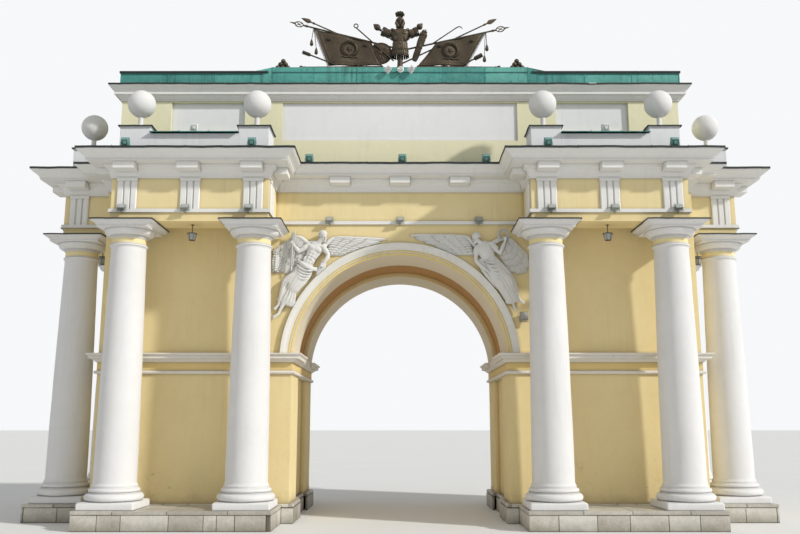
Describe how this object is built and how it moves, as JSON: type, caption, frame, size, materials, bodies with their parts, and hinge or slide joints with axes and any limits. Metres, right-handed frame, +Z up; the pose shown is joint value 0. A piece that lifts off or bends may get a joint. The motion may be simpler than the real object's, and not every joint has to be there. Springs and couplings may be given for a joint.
{
  "type": "triumphal arch",
  "caption": "Single-span masonry triumphal arch with free-standing columns in pairs on every side, winged figure reliefs, an attic and a metal trophy group on top.",
  "frame": {"origin": "on the lowest level that the masonry stands on, below the centre of the arched block", "axes": "+Z up, -Y towards the front shown in the picture, +X to the right along the front"},
  "size_m": [25.258, 11.358, 19.2665],
  "materials": {
    "wall_stucco": "painted lime stucco, matt",
    "frieze_stucco": "painted lime stucco, matt",
    "attic_stucco": "painted lime stucco, matt",
    "vault_stucco": "painted lime stucco in shade, matt",
    "white_plaster": "white painted plaster, matt",
    "impost_plaster": "white painted plaster, matt",
    "marble": "honed marble facing, satin",
    "patinated_copper": "weathered green sheet copper, matt",
    "dark_bronze": "dark patinated metal, satin",
    "dark_sheet_metal": "dark painted sheet metal, satin"
  },
  "bodies": {
    "root": {"pier_base": "marble", "pier_left": "wall_stucco", "pier_right": "wall_stucco", "impost_band": "impost_plaster", "arch_front": "wall_stucco", "arch_middle": "vault_stucco", "arch_rear": "wall_stucco", "archivolt_front": "white_plaster", "archivolt_rear": "white_plaster", "stylobates_front": "marble", "stylobates_rear": "marble", "stylobates_side": "marble", "architrave": "wall_stucco", "taenia": "white_plaster", "frieze": "frieze_stucco", "triglyphs": "white_plaster", "mutules": "white_plaster", "cornice": "white_plaster", "cornice_flashing": "dark_sheet_metal", "attic_wall": "attic_stucco", "attic_panels": "white_plaster", "inscription_panels": "white_plaster", "attic_cornice": "white_plaster", "attic_roof": "patinated_copper", "trophy_armour": "dark_bronze", "trophy_shields": "dark_bronze", "trophy_banners": "dark_bronze", "trophy_cannons": "dark_bronze", "cannonball_piles": "dark_bronze", "trophy_spears": "dark_bronze", "spandrel_figures_front": "white_plaster", "spandrel_figures_rear": "white_plaster", "lanterns": "dark_sheet_metal", "column_bases_front": "white_plaster", "column_shafts_front": "white_plaster", "capitals_front": "white_plaster", "parapets_front": "white_plaster", "balls_front": "white_plaster", "column_bases_rear": "white_plaster", "column_shafts_rear": "white_plaster", "capitals_rear": "white_plaster", "parapets_rear": "white_plaster", "balls_rear": "white_plaster", "column_bases_side": "white_plaster", "column_shafts_side": "white_plaster", "capitals_side": "white_plaster", "parapets_side": "white_plaster", "balls_side": "white_plaster"}
  },
  "joints": []
}
